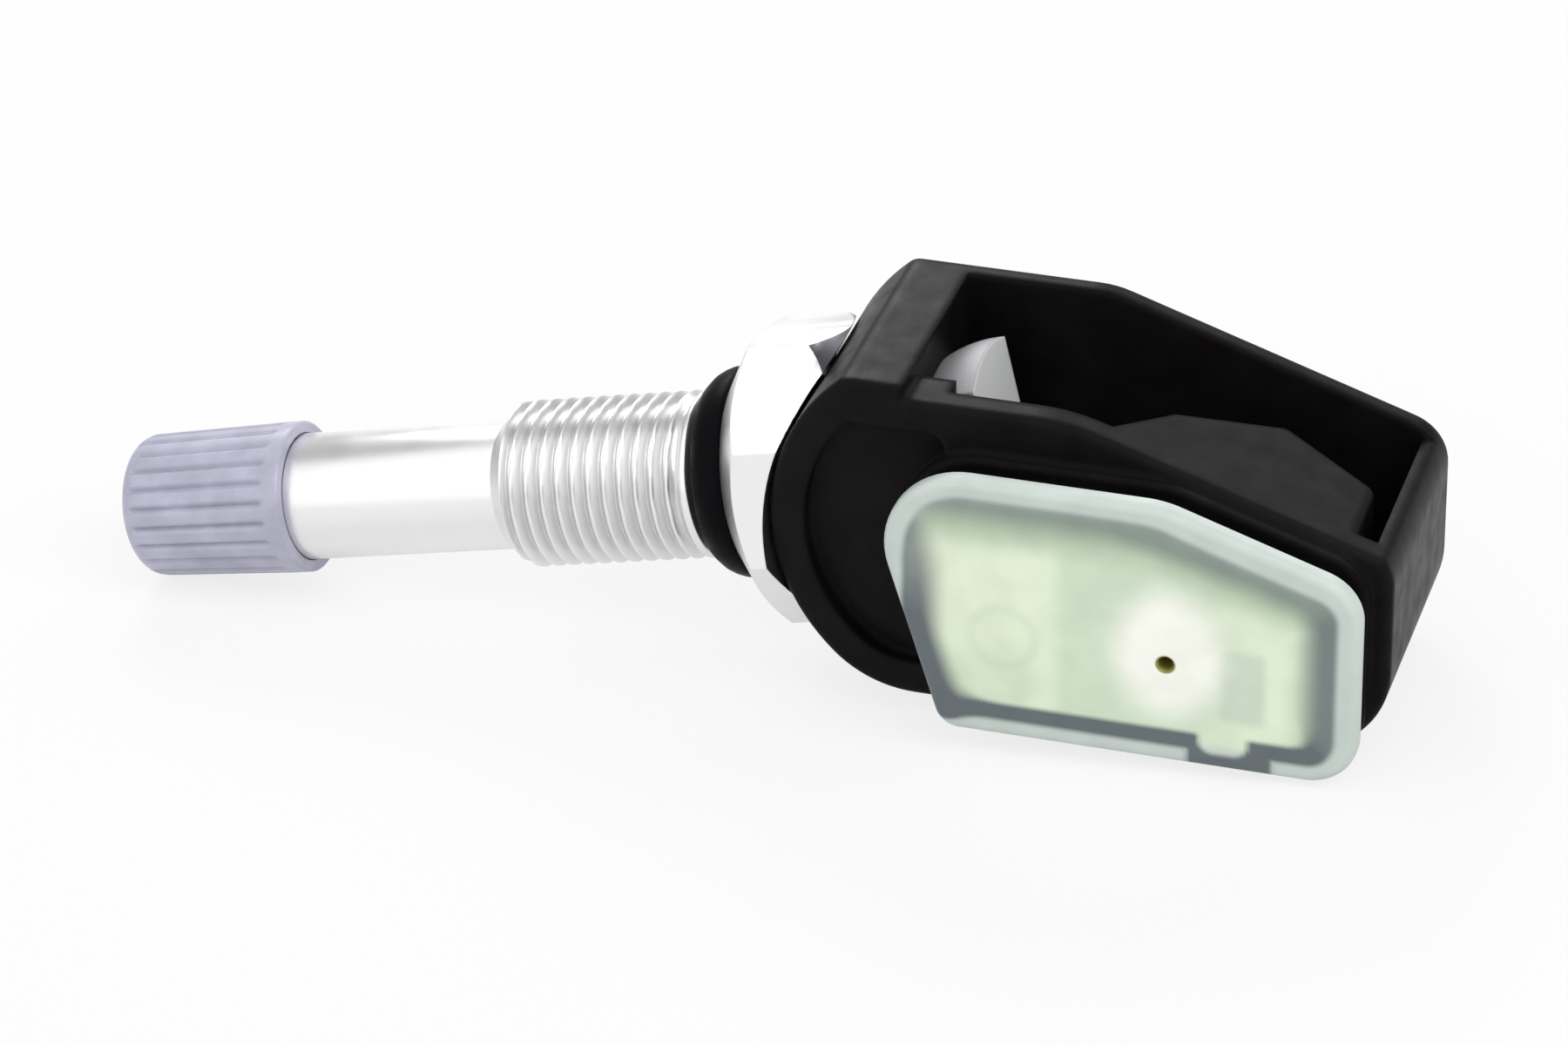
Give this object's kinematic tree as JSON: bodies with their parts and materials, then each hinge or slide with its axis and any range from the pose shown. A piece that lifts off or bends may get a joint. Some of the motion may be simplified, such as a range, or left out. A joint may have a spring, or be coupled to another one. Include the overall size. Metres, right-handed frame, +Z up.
{
  "type": "tyre pressure sensor",
  "caption": "Clamp-in tyre pressure sensor: a threaded valve stem with cap and rubber seal, on a swivel, with a black electronics housing and a milky welded lid.",
  "frame": {"origin": "centre of the bounding box, on the surface that the part lies on", "axes": "+X from the valve cap towards the far end of the housing, +Y away from the lid, +Z up as it lies on its cap and on the housing's far lower edge"},
  "size_m": [0.0806, 0.0206, 0.0219],
  "materials": {
    "bare_aluminium": "turned, bright",
    "black_rubber": "satin moulded rubber",
    "nut_alloy": "fine satin",
    "core_brass": "turned",
    "gasket_white": "soft, smooth",
    "spring_steel": "drawn wire",
    "cap_plastic": "fluted, slightly glossy",
    "black_plastic": "glass-filled, satin",
    "milky_plastic": "milky, lets some light through",
    "board_laminate": "solder mask",
    "cell_steel": "nickel plated",
    "chip_black": "moulded",
    "ferrite": "ground ferrite",
    "copper": "enamelled copper",
    "chip_ceramic": "ceramic with tinned ends"
  },
  "bodies": {
    "valve": {"valve_stem": "bare_aluminium", "stem_seal": "black_rubber", "swivel_nut": "nut_alloy", "core_barrel": "core_brass", "core_gasket": "gasket_white", "core_spring": "spring_steel"},
    "core": {"core_pin": "core_brass", "core_cup": "black_rubber"},
    "cap_seal": {"cap_liner": "black_rubber"},
    "cap": {"cap_shell": "cap_plastic"},
    "housing": {"housing_shell": "black_plastic", "lid": "milky_plastic", "circuit_board": "board_laminate", "battery_cell": "cell_steel", "battery_tab_front": "cell_steel", "battery_tab_back": "cell_steel", "sensor_chip": "chip_black", "port_gasket": "gasket_white", "coil_core": "ferrite", "coil_winding": "copper", "crystal": "cell_steel", "control_chip": "chip_black", "chip_capacitors": "chip_ceramic", "antenna_wire": "copper"}
  },
  "joints": [
    {"name": "housing_swivel", "type": "hinge", "parent": "valve", "child": "housing", "pos_m": [0.01617, 0.00133, 0.01328], "axis": [0, 1, 0], "range_deg": [-9, 9]},
    {"name": "cap_lift", "type": "slide", "parent": "valve", "child": "cap_seal", "axis": [-0.987, 0, -0.1604], "range_m": [0, 0.00556]},
    {"name": "cap_turn", "type": "hinge", "parent": "cap_seal", "child": "cap", "pos_m": [-0.02874, 0.00133, 0.00598], "axis": [-0.987, 0, -0.1604], "range_deg": [0, 2520]},
    {"name": "pin_press", "type": "slide", "parent": "valve", "child": "core", "axis": [0.987, 0, 0.1604], "range_m": [0, 0.0012], "stiffness_N_per_m": 800, "springref_m": -0.002, "deforming": ["core_spring"]}
  ],
  "couplings": [
    {"joint": "cap_turn", "follows": "cap_lift", "rad_per_m": 7913.3}
  ]
}
